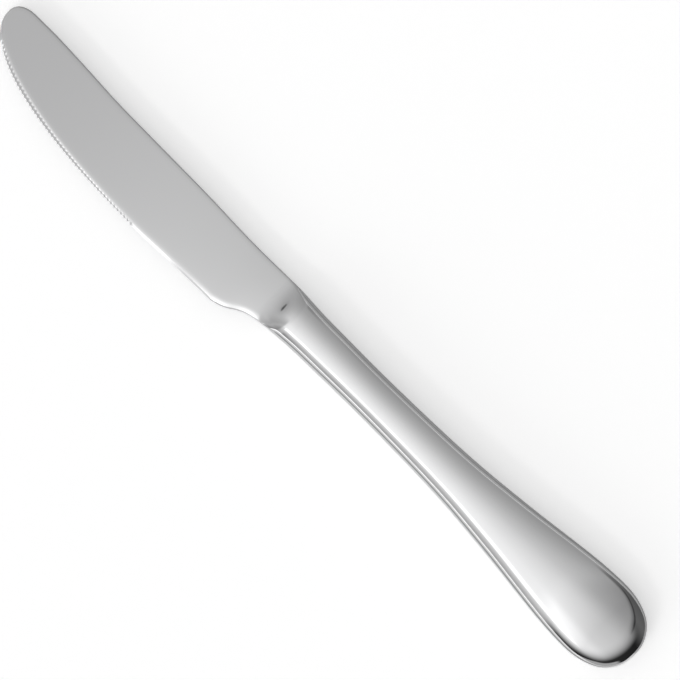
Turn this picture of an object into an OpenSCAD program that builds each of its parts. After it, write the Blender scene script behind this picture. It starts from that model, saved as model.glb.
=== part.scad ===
// Table knife with a forged blade and a hollow handle, lying on its flank.
// X runs from the tip to the butt, the cutting edge looks to -Y, and Z = 0 is what the knife lies on.
// The handle is two pressed half shells brazed together, and cement in its front holds the tang.

/* [Overall] */
// Length of the blade with its neck, from the tip to the mouth of the handle
blade_l = 112.5; // [100:0.5:135]
// Length of the handle, from its mouth to the end of the butt
handle_l = 122.5; // [102:0.5:147]

/* [Blade outline] */
// How far the cutting edge reaches from the handle's axis at the widest place
edge_h = 12.65; // [10.5:0.05:15.2]
// How far the spine rises from the handle's axis at its highest place
spine_h = 9.1; // [7.8:0.05:11]
// How far the foremost point of the tip lies from the handle's axis, on the spine's side
tip_rise = 4.9; // [4:0.1:6]
// Length over which the spine rounds off into the tip
tip_round_l = 6; // [5:0.1:7.2]
// How much the plain edge draws in between the widest place and the heel
heel_drop = 0.65; // [0.5:0.05:0.8]

/* [Blade section] */
// Thickness of the spine where it meets the neck
heel_t = 2.4; // [2:0.05:2.9]
// Thickness of the spine at the tip
tip_t = 1.3; // [1.05:0.05:1.6]
// Thickness above the bevel at the widest place
edge_t = 0.6; // [0.5:0.02:0.72]
// Thickness left at the cutting edge
edge_land = 0.12; // [0.1:0.01:0.15]
// Radius that breaks the corners of the spine and the heel
spine_r = 0.4; // [0.3:0.02:0.48]
// Width of the bevel at the tip
bevel_w = 1.4; // [1.2:0.05:1.7]
// Width of the bevel where it ends at the heel
heel_bevel_w = 0.5; // [0.4:0.05:0.6]
// Width of the strip along the edge that rolls towards the bevel
roll_w = 2.6; // [2.2:0.1:3.2]
// How far that strip falls below the flat of the blade
roll_drop = 0.08; // [0.06:0.01:0.1]

/* [Serration] */
// Distance from one tooth to the next along the edge
tooth_pitch = 1.24; // [1.04:0.02:1.48]
// How far the edge falls back in the gullet between two teeth
gullet_d = 0.36; // [0.3:0.01:0.44]
// How deep a gullet is ground into the middle of the bevel
groove_d = 0.08; // [0.06:0.01:0.1]
// Distance from the tip to the first tooth
serration_start = 4; // [3.3:0.1:4.8]
// Length of the blade over which the edge is serrated
serration_l = 60; // [50:1:72]

/* [Neck and handle] */
// Width of the handle at its narrowest place
waist_w = 12; // [10:0.1:14.4]
// Greatest width of the butt
butt_w = 23.05; // [19.2:0.05:27.7]
// Greatest thickness of the handle
handle_t = 10; // [8.4:0.1:12]
// Length over which the flat blade swells into the round neck
swell_l = 7; // [5.9:0.1:8.4]
// Length of the round neck behind that swelling, up to the mouth of the handle
neck_l = 3.2; // [2.7:0.1:3.9]
// Length of the curve that draws the heel in to the neck
heel_curve_l = 20; // [16.7:0.1:24]

/* [Inside the handle] */
// Wall of the pressed half shells
wall = 0.8; // [0.66:0.02:0.96]
// Thickness of the braze between the pieces
braze_t = 0.16; // [0.12:0.01:0.2]
// Length of the plug behind the neck that centres the handle
plug_l = 3; // [2.5:0.1:3.6]
// Gap all round between that plug and the shells
plug_gap = 0.05; // [0.04:0.01:0.06]
// Length of the tang behind the plug
tang_l = 46; // [38:1:55]
// Width of the tang at its root
tang_w = 6; // [5:0.1:7.2]
// Thickness of the tang at its root
tang_t = 3.4; // [2.8:0.1:4.1]
// Depth of the notches that key the tang into the cement
notch_d = 0.7; // [0.5:0.05:0.84]
// Length of the cement, from the plug into the handle
cement_l = 58; // [56:1:69]

/* [Hidden] */
$fn = 24;

// Places along the knife. Its length is halved by X = 0 and its width by Y = 0.
x_mouth = (blade_l - handle_l) / 2;
x_tip = x_mouth - blade_l;
x_butt = x_mouth + handle_l;
x_neck = x_mouth - neck_l;
x_swell = x_neck - swell_l;
x_heel = x_neck - heel_curve_l;
axis_y = (edge_h - butt_w / 2) / 2;
mid_z = handle_t / 2;
rim_z = braze_t / 2;
x_shell = x_mouth + braze_t;
x_plug = x_shell + plug_l;
x_cement = x_plug + cement_l;
overrun = wall;

// Outline of the spine: share of the blade's length, share of its rise above the waist.
spine_shares = [[0, 1], [0.06, 1], [0.12, 0.99], [0.17, 0.925], [0.24, 0.79], [0.33, 0.605], [0.4, 0.545],
    [0.47, 0.505], [0.54, 0.47], [0.65, 0.39], [0.77, 0.225], [0.88, 0.205], [1, 0.205]];
// Curve of the heel: share of the curve's length, share of the way in from the edge to the neck.
heel_shares = [[0, 0], [0.05, 0.01], [0.125, 0.07], [0.26, 0.24], [0.39, 0.545], [0.525, 0.78], [0.655, 0.895],
    [0.785, 0.95], [0.9, 0.985], [1, 1]];
// Half width of the neck and handle: share of the handle's length, share of what the butt has over the waist.
width_shares = [[-0.3, 0.14], [-0.08, 0.14], [-0.05, 0.13], [-0.02, 0.092], [0, 0.065], [0.03, 0.038], [0.07, 0.026],
    [0.15, 0.002], [0.24, 0.005], [0.34, 0.045], [0.43, 0.11], [0.5, 0.205], [0.57, 0.345], [0.64, 0.505],
    [0.7, 0.665], [0.76, 0.825], [0.82, 0.955], [0.87, 1.02], [0.91, 1.055], [0.95, 1.045], [0.98, 0.975], [1, 0.78]];
// Half thickness of the neck and handle: share of the handle's length, share of the greatest half thickness.
thickness_shares = [[-0.3, 0.985], [0, 0.985], [0.15, 0.965], [0.4, 0.96], [0.62, 0.985], [0.76, 1], [1, 1]];
// Where the butt starts to round off, in plan and in thickness, and how full those curves are.
plan_cap_share = 0.84;
plan_power_share = 2.6;
side_cap_share = 0.76;
side_power_share = 2.2;
// The belly of the blade: where it is widest, and how full its curve is at the tip and where it levels out.
wide_share = 0.583;
tip_power_share = 2.25;
belly_power_share = 2.4;
// The bevel's width at the foremost point of the tip, from where it grows past the first teeth.
lead_share = 0.35;
// Angles of the points round half a section. The wide step is the flat that the handle lies on.
section_angles = [-90, -78, -66, -54, -42, -30, -20, -10, 10, 20, 30, 42, 54, 66, 78, 90];
last = len(section_angles) - 1;
// Which points of the blade's section lie on its flat.
flat_from = 3;
flat_to = 12;
corner_share = 1 - sqrt(1 / 2);

function mix(a, b, s) = a + (b - a) * s;
function clamp(s) = min(1, max(0, s));
function ease(a, b, x) = let (s = clamp((x - a) / (b - a))) s * s * (3 - 2 * s);
// Quarter of a superellipse: from 0 at s = 0 to 1 at s = 1, with one power for its steep start and one for its end.
function swell(s, start, end) = pow(1 - pow(1 - clamp(s), end), 1 / start);

// A smooth curve through the points of a table, found at s.
function gradient(t, i) = let (a = max(i - 1, 0), b = min(i + 1, len(t) - 1)) (t[b].y - t[a].y) / (t[b].x - t[a].x);
function span(t, s, i = 0) = i >= len(t) - 2 || s < t[i + 1].x ? i : span(t, s, i + 1);
function hermite(p, q, u, v, s) =
    (2 * s ^ 3 - 3 * s ^ 2 + 1) * p + (s ^ 3 - 2 * s ^ 2 + s) * u + (3 * s ^ 2 - 2 * s ^ 3) * q + (s ^ 3 - s ^ 2) * v;
function curve(t, s) =
    let (i = span(t, s), w = t[i + 1].x - t[i].x)
    hermite(t[i].y, t[i + 1].y, gradient(t, i) * w, gradient(t, i + 1) * w, (s - t[i].x) / w);

// Half width and half thickness of the neck and handle at x.
function along(x) = (x - x_mouth) / handle_l;
function cap(x, share, power) = let (s = clamp((along(x) - share) / (1 - share))) pow(1 - pow(s, power), 1 / power);
function half_w(x) =
    mix(waist_w, butt_w, curve(width_shares, along(x))) / 2 * cap(x, plan_cap_share, plan_power_share);
function half_t(x) =
    handle_t / 2 * curve(thickness_shares, along(x)) * cap(x, side_cap_share, side_power_share);

// Distance of the spine and of the cutting edge from the handle's axis at x.
function spine_line(x) =
    mix(mix(waist_w / 2, spine_h, curve(spine_shares, (x - x_tip) / blade_l)), half_w(x), ease(x_heel, x_neck, x));
function spine_at(x) =
    mix(tip_rise, spine_line(x), swell((x - x_tip) / tip_round_l, tip_power_share, tip_power_share));
x_wide = x_tip + wide_share * blade_l;
function belly_at(x) =
    mix(-tip_rise, edge_h, swell((x - x_tip) / (x_wide - x_tip), tip_power_share, belly_power_share));
function plain_at(x) = edge_h - heel_drop * sin(90 * clamp((x - x_wide) / (x_heel - x_wide)));
function edge_at(x) =
    x < x_wide ? belly_at(x) : mix(plain_at(x), half_w(x), curve(heel_shares, clamp((x - x_heel) / heel_curve_l)));

// Half thickness of the flat blade at x and at w from the axis, w growing towards the edge: one plane per flank.
function flank_x(x) = mix(tip_t, heel_t, (x - x_tip) / (x_swell - x_tip)) / 2;
wedge_drop = flank_x(x_wide) - edge_t / 2;
function flank(x, w) = flank_x(x) - wedge_drop * (w + spine_h) / (edge_h + spine_h);

// Points [w, z] of the upper or lower half of the blade's section at x, from the spine to the edge.
// The bevel is ground on the upper side only, and past the heel the edge opens to a full, blunt side.
function bevel_at(x) =
    mix(bevel_w, heel_bevel_w, clamp((x - x_tip) / (x_heel - x_tip)))
    * mix(lead_share, 1, ease(x_tip, x_tip + 2 * serration_start, x));
function blade_half(x, upper) =
    let (
        top = -spine_at(x),
        full = edge_at(x) - top,
        fit = min(1, full / (3 * roll_w)),
        r = spine_r * fit,
        roll = roll_w * fit,
        blunt = ease(x_heel, x_heel + heel_curve_l / 4, x),
        bevel = mix(bevel_at(x) * fit, r, blunt),
        sag = upper ? roll_drop * fit * (1 - blunt) : 0,
        edge_z = flank(x, edge_at(x)),
        lip = upper ? mix(edge_land - edge_z, edge_z - r, blunt) : mix(edge_z, edge_z - r, blunt)
    )
    [
        [top, rim_z],
        [top, flank(x, top) - r],
        [top + r * corner_share, flank(x, top) - r * corner_share],
        for (k = [flat_from:flat_to])
            let (w = mix(top + r, top + full - roll, (k - flat_from) / (flat_to - flat_from))) [w, flank(x, w)],
        [top + full - bevel, flank(x, top + full - bevel) - sag],
        [top + full - bevel / 2, mix(flank(x, top + full - bevel) - sag, lip, 1 / 2)],
        [top + full, lip]
    ];

// Points [w, z] of half an oval section, drawn in by inset along its own normal.
function oval_half(x, inset = 0) =
    let (a = half_w(x), b = half_t(x) - rim_z)
    [for (t = section_angles)
        let (n = [sin(t) / a, cos(t) / b], flatter = abs(t) < 15 ? 1 : cos(t))
        [a * sin(t), rim_z + b * flatter] - inset * n / norm(n)];

// A whole ring in space: the upper half from the spine to the edge, then the lower half back.
function ring(x, upper, lower) = [
    for (p = upper) [x, axis_y - p[0], mid_z + p[1]],
    for (k = [last:-1:0]) [x, axis_y - lower[k][0], mid_z - lower[k][1]]
];
function blade_ring(x) =
    let (s = ease(x_swell, x_neck, x), oval = oval_half(x))
    ring(x, mix(blade_half(x, true), oval, s), mix(blade_half(x, false), oval, s));
function handle_ring(x, inset = 0) = ring(x, oval_half(x, inset), oval_half(x, inset));

// A closed solid through rings of equal count, with flat ends.
module loft(rings) {
    n = len(rings[0]);
    points = [for (r = rings) each r];
    sides = [for (i = [0:len(rings) - 2]) for (k = [0:n - 1])
        let (a = i * n + k, b = i * n + (k + 1) % n)
        each [[a, b + n, b], [a, a + n, b + n]]];
    start = [for (k = [0:n - 1]) k];
    end = [for (k = [n - 1:-1:0]) (len(rings) - 1) * n + k];
    polyhedron(points, concat(sides, [start, end]));
}

// Points along the cutting edge with their running length, for placing the teeth.
edge_steps = 160;
crowding_share = 2.2;
function edge_point(x) = [x, axis_y - edge_at(x)];
function edge_x(i) = mix(x_tip, x_heel, pow(i / edge_steps, crowding_share));
edge_lengths = [for (i = 0, s = 0; i <= edge_steps;
    s = s + norm(edge_point(edge_x(i + 1)) - edge_point(edge_x(i))), i = i + 1) [s, edge_x(i)]];
function x_from_length(s) = lookup(s, edge_lengths);
function length_from_x(x) = lookup(x, [for (p = edge_lengths) [p[1], p[0]]]);

// The teeth go in groups, with a station between two groups and four points to a tooth.
group_teeth = 3;
tooth_points = 4;
group_points = group_teeth * tooth_points;
group_l = group_teeth * tooth_pitch;
teeth_from = length_from_x(x_tip + serration_start);
group_count = floor((length_from_x(x_tip + serration_start + serration_l) - teeth_from) / group_l);
x_teeth = x_tip + serration_start;
x_plain = x_from_length(teeth_from + group_count * group_l);

// Stations along the blade: crowded at the tip, one for each group of teeth, then even steps to the neck.
tip_steps = 11;
plain_steps = 9;
heel_steps = 10;
swell_steps = 8;
blade_xs = concat(
    [for (i = [1:tip_steps]) mix(x_tip, x_teeth, pow(i / tip_steps, crowding_share))],
    [for (i = [1:group_count]) x_from_length(teeth_from + i * group_l)],
    [for (i = [1:plain_steps]) mix(x_plain, x_heel, i / plain_steps)],
    [for (i = [1:heel_steps]) mix(x_heel, x_swell, i / heel_steps)],
    [for (i = [1:swell_steps]) mix(x_swell, x_neck, i / swell_steps)],
    [mix(x_neck, x_mouth, 1 / 2), x_mouth]
);
first_group = tip_steps - 1;

// Stations along the handle. The shells, the seam and the cement share them, so their faces meet.
cement_steps = 12;
grip_steps = 10;
cap_steps = 11;
x_cap = x_mouth + side_cap_share * handle_l;
straight_xs = concat(
    [x_shell],
    [for (i = [0:cement_steps]) mix(x_plug, x_cement, i / cement_steps)],
    [for (i = [1:grip_steps]) mix(x_cement, x_cap, i / grip_steps)]
);
cap_sines = [for (i = [1:cap_steps]) sin(90 * i / cap_steps)];
outer_xs = concat(straight_xs, [for (s = cap_sines) mix(x_cap, x_butt, s)]);
// The hollow ends two steps before the butt, one wall short of where the outside ends.
hollow_count = len(outer_xs) - 2;
function hollow_x(i) =
    i < len(straight_xs) ? outer_xs[i] : outer_xs[i] - wall * cap_sines[i - len(straight_xs)];
function outer_half(i) = oval_half(outer_xs[i]);
function hollow_half(i) = oval_half(outer_xs[i], wall);
function hollow_ring(i) = ring(hollow_x(i), hollow_half(i), hollow_half(i));

// The four points that a dense step j of tooth group g has across the bevel and the edge.
// The bevel's inner line runs straight between two stations, and the edge falls back between two teeth.
function tooth_step(g, j) =
    let (
        from = blade_ring(blade_xs[first_group + g])[bevel_line],
        to = blade_ring(blade_xs[first_group + g + 1])[bevel_line],
        x = x_from_length(teeth_from + g * group_l + j * tooth_pitch / tooth_points),
        gap = sqrt(sin(180 * (j % tooth_points) / tooth_points)),
        near = edge_point(x - tooth_pitch),
        ahead = edge_point(x + tooth_pitch) - near,
        back = [-ahead.y, ahead.x] / norm(ahead) * gullet_d * gap,
        spot = edge_point(x) + back,
        under = mid_z - flank(spot.x, axis_y - spot.y),
        inner = mix(from, to, j / group_points),
        rim = [spot.x, spot.y, under + edge_land]
    )
    [inner, mix(inner, rim, 1 / 2) - [0, 0, groove_d * gap], rim, [spot.x, spot.y, under]];
bevel_line = last - 2;

// The blade and neck as one closed solid: rings at the stations, and dense steps across the edge at the teeth.
module toothed_blade() {
    n = 2 * (last + 1);
    rings = [for (x = blade_xs) blade_ring(x)];
    inner_steps = group_points - 1;
    dense = [for (g = [0:group_count - 1]) for (j = [1:inner_steps]) each tooth_step(g, j)];
    dense_at = len(rings) * n;
    width = 4;
    function at(g, j, c) =
        j == 0 ? (first_group + g) * n + bevel_line + c
        : j == group_points ? (first_group + g + 1) * n + bevel_line + c
        : dense_at + (g * inner_steps + j - 1) * width + c;
    function toothed(i, k) =
        i >= first_group && i < first_group + group_count && k >= bevel_line - 1 && k < bevel_line + width;
    sides = [for (i = [0:len(rings) - 2]) for (k = [0:n - 1]) if (!toothed(i, k))
        let (a = i * n + k, b = i * n + (k + 1) % n)
        each [[a, b + n, b], [a, a + n, b + n]]];
    bevel = [for (g = [0:group_count - 1]) for (j = [0:group_points - 1]) for (c = [0:width - 2])
        each [[at(g, j, c), at(g, j + 1, c + 1), at(g, j, c + 1)], [at(g, j, c), at(g, j + 1, c), at(g, j + 1, c + 1)]]];
    upper = [for (g = [0:group_count - 1])
        let (a = (first_group + g) * n + bevel_line - 1)
        each concat([[a, a + n, at(g, group_points, 0)]],
            [for (j = [0:group_points - 1]) [a, at(g, j + 1, 0), at(g, j, 0)]])];
    lower = [for (g = [0:group_count - 1])
        let (b = (first_group + g) * n + bevel_line + width)
        each concat([[at(g, 0, width - 1), b + n, b]],
            [for (j = [0:group_points - 1]) [at(g, j, width - 1), at(g, j + 1, width - 1), b + n]])];
    start = [for (k = [0:n - 1]) k];
    end = [for (k = [n - 1:-1:0]) (len(rings) - 1) * n + k];
    polyhedron(concat([for (r = rings) each r], dense), concat(sides, bevel, upper, lower, [start, end]));
}

// The tang: a tapered bar from the plug to its end, with notches that key it into the cement.
module tang_body() {
    end_w = tang_w * 2 / 3;
    x_end = x_plug + tang_l;
    difference() {
        loft([for (s = [0, 1])
            let (x = mix(x_plug - overrun, x_end, s), y = mix(tang_w, end_w, s) / 2, z = mix(tang_t, tang_t * 3 / 4, s) / 2)
            [[x, axis_y + y, mid_z + z], [x, axis_y - y, mid_z + z], [x, axis_y - y, mid_z - z],
                [x, axis_y + y, mid_z - z]]]);
        for (side = [1, -1], s = [1 / 2, 3 / 4])
            translate([x_plug + tang_l * s, axis_y + side * (mix(tang_w, end_w, s) / 2 + notch_d), mid_z - tang_t])
                cylinder(r = 2 * notch_d, h = 2 * tang_t);
    }
}

// The part of the neck that reaches into the mouth of the handle.
module plug(x_from, x_to) {
    outline = handle_ring(x_plug, wall + plug_gap);
    translate([x_from, 0, 0])
        rotate([90, 0, 90])
            linear_extrude(x_to - x_from)
                polygon([for (p = outline) [p.y, p.z]]);
}

module blade() {
    color("silver") {
        toothed_blade();
        plug(x_mouth - overrun, x_plug);
        tang_body();
    }
}

module mouth_braze() {
    color("gainsboro")
        difference() {
            translate([x_mouth, 0, 0])
                rotate([90, 0, 90])
                    linear_extrude(braze_t)
                        polygon([for (p = handle_ring(x_shell)) [p.y, p.z]]);
            plug(x_mouth - overrun, x_plug);
        }
}

// One half shell above the seam's plane: the outside up to the butt's end, and the hollow inside it.
module half_shell() {
    n = last + 1;
    outer_count = len(outer_xs) - 1;
    outer = [for (i = [0:outer_count - 1]) for (p = outer_half(i)) [outer_xs[i], -p[0], p[1]]];
    hollow = [for (i = [0:hollow_count - 1]) for (p = hollow_half(i)) [hollow_x(i), -p[0], p[1]]];
    butt_end = [x_butt, 0, rim_z];
    points = concat(outer, hollow, [butt_end]);
    in_at = len(outer);
    end_at = len(points) - 1;
    last_out = (outer_count - 1) * n;
    last_in = in_at + (hollow_count - 1) * n;
    outside = [for (i = [0:outer_count - 2]) for (k = [0:last - 1])
        let (a = i * n + k) each [[a, a + 1 + n, a + 1], [a, a + n, a + 1 + n]]];
    inside = [for (i = [0:hollow_count - 2]) for (k = [0:last - 1])
        let (a = in_at + i * n + k) each [[a, a + 1, a + 1 + n], [a, a + 1 + n, a + n]]];
    butt = [for (k = [0:last - 1]) [last_out + k + 1, last_out + k, end_at]];
    mouth = [for (k = [0:last - 1]) [k, k + 1, in_at + k + 1, in_at + k]];
    hollow_end = [for (k = [0:last]) last_in + k];
    spine_rim = [for (i = [0:hollow_count - 2]) [i * n, in_at + i * n, in_at + (i + 1) * n, (i + 1) * n]];
    edge_rim = [for (i = [0:hollow_count - 2])
        [i * n + last, (i + 1) * n + last, in_at + (i + 1) * n + last, in_at + i * n + last]];
    rim_end = concat(
        [last_in + last],
        [for (i = [hollow_count - 1:outer_count - 1]) i * n + last],
        [end_at],
        [for (i = [outer_count - 1:-1:hollow_count - 1]) i * n],
        [last_in]
    );
    translate([0, axis_y, mid_z])
        polyhedron(points, concat(outside, inside, butt, mouth, [hollow_end], spine_rim, edge_rim, [rim_end]));
}

module handle_shell_front() {
    color("silver")
        half_shell();
}

module handle_shell_back() {
    color("silver")
        translate([0, 0, 2 * mid_z])
            mirror([0, 0, 1])
                half_shell();
}

// The layer between the rims of the two shells, open at the mouth.
module seam_braze() {
    outer_count = len(outer_xs) - 1;
    outline = concat(
        [for (i = [0:outer_count - 1]) [outer_xs[i], axis_y - outer_half(i)[0][0]]],
        [[x_butt, axis_y]],
        [for (i = [outer_count - 1:-1:0]) [outer_xs[i], axis_y - outer_half(i)[last][0]]],
        [for (i = [0:hollow_count - 1]) [hollow_x(i), axis_y - hollow_half(i)[last][0]]],
        [for (i = [hollow_count - 1:-1:0]) [hollow_x(i), axis_y - hollow_half(i)[0][0]]]
    );
    color("gainsboro")
        translate([0, 0, mid_z - rim_z])
            linear_extrude(braze_t)
                polygon(outline);
}

module tang_cement() {
    color("darkgray")
        difference() {
            loft([for (i = [1:cement_steps + 1]) hollow_ring(i)]);
            tang_body();
        }
}

blade();
mouth_braze();
handle_shell_front();
handle_shell_back();
seam_braze();
tang_cement();
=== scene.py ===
"""The looks of a table knife with a serrated edge and a hollow handle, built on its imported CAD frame.

X runs from the tip to the butt, the cutting edge looks to -Y, and the knife lies on Z = 0. Everything is
in metres.
"""

import math

import bpy
import numpy as np
from bpy.props import FloatProperty, FloatVectorProperty, IntProperty, PointerProperty
from bpy.types import Operator, Panel, PropertyGroup
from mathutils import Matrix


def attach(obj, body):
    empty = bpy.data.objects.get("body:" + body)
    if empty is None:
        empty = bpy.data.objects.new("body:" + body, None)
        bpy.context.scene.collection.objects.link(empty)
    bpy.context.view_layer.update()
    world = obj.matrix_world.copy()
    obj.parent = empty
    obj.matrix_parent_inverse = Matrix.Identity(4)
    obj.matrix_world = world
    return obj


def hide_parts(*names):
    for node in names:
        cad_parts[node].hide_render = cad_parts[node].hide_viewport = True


bl_info = {
    "name": "Table knife",
    "version": (1, 0, 0),
    "blender": (4, 5, 0),
    "location": "3D View > Sidebar > Table knife",
    "description": "Blade, hollow handle and studio of a table knife",
    "category": "Add Mesh",
}

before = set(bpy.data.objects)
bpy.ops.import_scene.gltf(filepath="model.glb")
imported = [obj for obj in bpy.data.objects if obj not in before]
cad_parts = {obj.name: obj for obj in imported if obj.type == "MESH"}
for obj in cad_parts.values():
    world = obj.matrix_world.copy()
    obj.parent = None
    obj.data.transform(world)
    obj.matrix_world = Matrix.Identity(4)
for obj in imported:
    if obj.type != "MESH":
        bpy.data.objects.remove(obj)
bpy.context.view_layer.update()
MM = 0.001
# How far the edge stays inside the CAD's.
EDGE_GAP = 0.0002 * MM


def length(name, description, millimetres):
    """A length property whose default is given in millimetres."""
    return FloatProperty(
        name=name, description=description, default=millimetres * MM, min=0, precision=5, unit="LENGTH"
    )


def share(name, description, default):
    """A property from 0 to 1."""
    return FloatProperty(name=name, description=description, default=default, min=0, max=1, subtype="FACTOR")


def colour(name, description, default):
    """A colour property."""
    return FloatVectorProperty(
        name=name, description=description, default=default, size=3, min=0, max=1, subtype="COLOR"
    )


class KnifeSizes(PropertyGroup):
    """Sizes of the blade and of the handle."""

    blade_length: length("Blade length", "From the tip to the mouth of the handle", 112.5)
    handle_length: length("Handle length", "From the mouth to the end of the butt", 122.5)
    edge_height: length("Edge height", "From the handle's axis to the widest place of the edge", 12.65)
    spine_height: length("Spine height", "From the handle's axis to the highest place of the spine", 9.1)
    tip_rise: length("Tip rise", "From the handle's axis to the foremost point of the tip", 4.9)
    tip_round: length("Tip round", "Length over which the spine rounds off into the tip", 6)
    heel_drop: length("Heel drop", "How much the plain edge draws in towards the heel", 0.65)
    heel_thickness: length("Heel thickness", "Thickness of the spine where it meets the neck", 2.4)
    tip_thickness: length("Tip thickness", "Thickness of the spine at the tip", 1.3)
    edge_thickness: length("Edge thickness", "Thickness above the bevel at the widest place", 0.6)
    spine_radius: length("Spine radius", "Radius of the spine's corners", 0.4)
    waist_width: length("Waist width", "Width of the handle at its narrowest place", 12)
    butt_width: length("Butt width", "Greatest width of the butt", 23.05)
    handle_thickness: length("Handle thickness", "Greatest thickness of the handle", 10)
    swell_length: length("Swell length", "Length over which the blade swells into the neck", 7)
    neck_length: length("Neck length", "Length of the round neck up to the mouth", 3.2)
    heel_length: length("Heel length", "Length of the curve from the edge to the neck", 20)


class EdgeSizes(PropertyGroup):
    """Sizes of the bevel and of its teeth."""

    bevel_width: length("Bevel width", "Width of the bevel at the first teeth", 1.4)
    heel_bevel_width: length("Heel bevel width", "Width of the bevel at the heel", 0.5)
    roll_width: length("Roll width", "Width of the strip that rolls towards the bevel", 2.8)
    roll_drop: length("Roll drop", "How far that strip falls below the flat", 0.14)
    heel_roll_drop: length("Heel roll drop", "How far it falls along the heel", 0.24)
    shoulder_width: length("Shoulder width", "Width of the strip that rolls towards the spine", 1.6)
    shoulder_drop: length("Shoulder drop", "How far that strip falls below the flat", 0.05)
    camber: length("Camber", "How far the flat falls to its sides where it meets the heel", 0.3)
    edge_land: length("Edge land", "Thickness left at the cutting edge", 0.12)
    tooth_pitch: length("Tooth pitch", "Distance from one tooth to the next", 1.24)
    gullet_depth: length("Gullet depth", "How far the edge falls back between two teeth", 0.36)
    groove_depth: length("Groove depth", "How deep a gullet is ground into the bevel", 0.06)
    serration_start: length("Serration start", "Distance from the tip to the first tooth", 4)
    serration_length: length("Serration length", "Length of the blade that is serrated", 60)
    tooth_steps: IntProperty(name="Tooth steps", description="Stations to a tooth", default=10, min=4, max=16)


class InsideSizes(PropertyGroup):
    """Sizes of what the handle hides."""

    wall: length("Wall", "Wall of the pressed half shells", 0.8)
    braze: length("Braze", "Thickness of the braze between the pieces", 0.16)
    plug_length: length("Plug length", "Length of the plug behind the neck", 3)
    plug_gap: length("Plug gap", "Gap between that plug and the shells", 0.05)
    tang_length: length("Tang length", "Length of the tang behind the plug", 46)
    tang_width: length("Tang width", "Width of the tang at its root", 6)
    tang_thickness: length("Tang thickness", "Thickness of the tang at its root", 3.4)
    notch_depth: length("Notch depth", "Depth of the notches in the tang", 0.7)


class KnifeFinish(PropertyGroup):
    """Colours and polish of the metal and of the cement."""

    blade_colour: colour("Blade colour", "Colour of the satin polished blade", (0.698, 0.698, 0.703))
    handle_colour: colour("Handle colour", "Colour of the mirror polished handle", (0.8, 0.8, 0.805))
    cement_colour: colour("Cement colour", "Colour of the cement in the handle", (0.35, 0.33, 0.3))
    blade_roughness: share("Blade roughness", "How satin the blade is", 0.17)
    handle_roughness: share("Handle roughness", "How soft the handle's reflections are", 0.05)
    smear: share("Smear", "How much the polish varies over the metal", 0.25)


class StudioSettings(PropertyGroup):
    """Floor, light and camera."""

    floor_colour: colour("Floor colour", "Colour of the white sweep", (0.93, 0.93, 0.93))
    floor_glow: share("Floor glow", "How much the floor lights up by itself for the camera", 0.41)
    floor_shine: share("Floor shine", "Share of the glow that its reflections show", 0.31)
    floor_size: length("Floor size", "Half the side of the floor", 4000)
    soft_light: FloatProperty(name="Soft light", description="Strength of the room", default=1, min=0)
    key_light: FloatProperty(name="Key light", description="Strength of the soft box", default=9.4, min=0)
    low_light: FloatProperty(name="Low light", description="Strength of the low lamp", default=2.5, min=0)
    key_shine: share("Key shine", "Strength of the soft box in reflections", 0.5)
    camera_height: length("Camera height", "Height of the camera over the floor", 1200)
    picture_width: length("Picture width", "Width of the picture on the floor", 178)
    turn: FloatProperty(
        name="Turn", description="Turn of the picture", default=math.radians(44.653), subtype="ANGLE"
    )
    aim_along: length("Aim along", "Where the picture's centre lies along the knife", 4.71)
    aim_across: length("Aim across", "Where the picture's centre lies across the knife", 5.06)


# Outline of the spine: share of the blade's length, share of its rise above the waist.
SPINE_SHARES = (
    (0, 1), (0.06, 1), (0.12, 0.99), (0.17, 0.925), (0.24, 0.79), (0.33, 0.605), (0.4, 0.545),
    (0.47, 0.505), (0.54, 0.47), (0.65, 0.39), (0.77, 0.225), (0.88, 0.205), (1, 0.205),
)
# Curve of the heel: share of its length, share of the way in from the edge to the neck.
HEEL_SHARES = (
    (0, 0), (0.05, 0.01), (0.125, 0.07), (0.26, 0.24), (0.39, 0.545), (0.525, 0.78), (0.655, 0.895),
    (0.785, 0.95), (0.9, 0.985), (1, 1),
)
# Width of the neck and handle: share of the handle's length, share of what the butt has over the waist.
WIDTH_SHARES = (
    (-0.3, 0.14), (-0.08, 0.14), (-0.05, 0.13), (-0.02, 0.092), (0, 0.065), (0.03, 0.038), (0.07, 0.026),
    (0.15, 0.002), (0.24, 0.005), (0.34, 0.045), (0.43, 0.11), (0.5, 0.205), (0.57, 0.345), (0.64, 0.505),
    (0.7, 0.665), (0.76, 0.825), (0.82, 0.955), (0.87, 1.014), (0.91, 1.05), (0.95, 1.043), (0.98, 0.975),
    (1, 0.78),
)
# Thickness of the neck and handle: share of the handle's length, share of the greatest thickness.
THICKNESS_SHARES = (
    (-0.3, 0.985), (0, 0.985), (0.15, 0.965), (0.4, 0.96), (0.62, 0.985), (0.76, 1), (1, 1),
)
# Where the butt starts to round off in plan and in thickness, and how full those curves are.
PLAN_CAP_SHARE, PLAN_POWER = 0.84, 2.6
SIDE_CAP_SHARE, SIDE_POWER = 0.76, 2.2
# Where the belly of the blade is widest, and how full its curve is.
WIDE_SHARE, TIP_POWER, BELLY_POWER = 0.583, 2.25, 2.4
# Share of the bevel's width at the tip, and after how many times the way to the first tooth it is whole.
LEAD_SHARE, LEAD_REACH = 0.35, 2
# Shares of the heel's curve: where the edge is blunt, and how far before it the rolled strip starts to sink.
BLUNT_SHARE, SINK_SHARE = 1 / 4, 1 / 2
# Teeth come in groups of three, as in the CAD. The power says how full the arch of a gullet is.
TOOTH_GROUP, GULLET_POWER = 3, 0.6
# How far the soft swell reaches past its length at each end, which keeps its steepest place as steep.
LONGER_SHARE = 0.23
# Points that measure the edge's own length, and which step towards the first tooth the stations start with.
EDGE_POINTS, FIRST_STEP = 4000, 0.118
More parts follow.
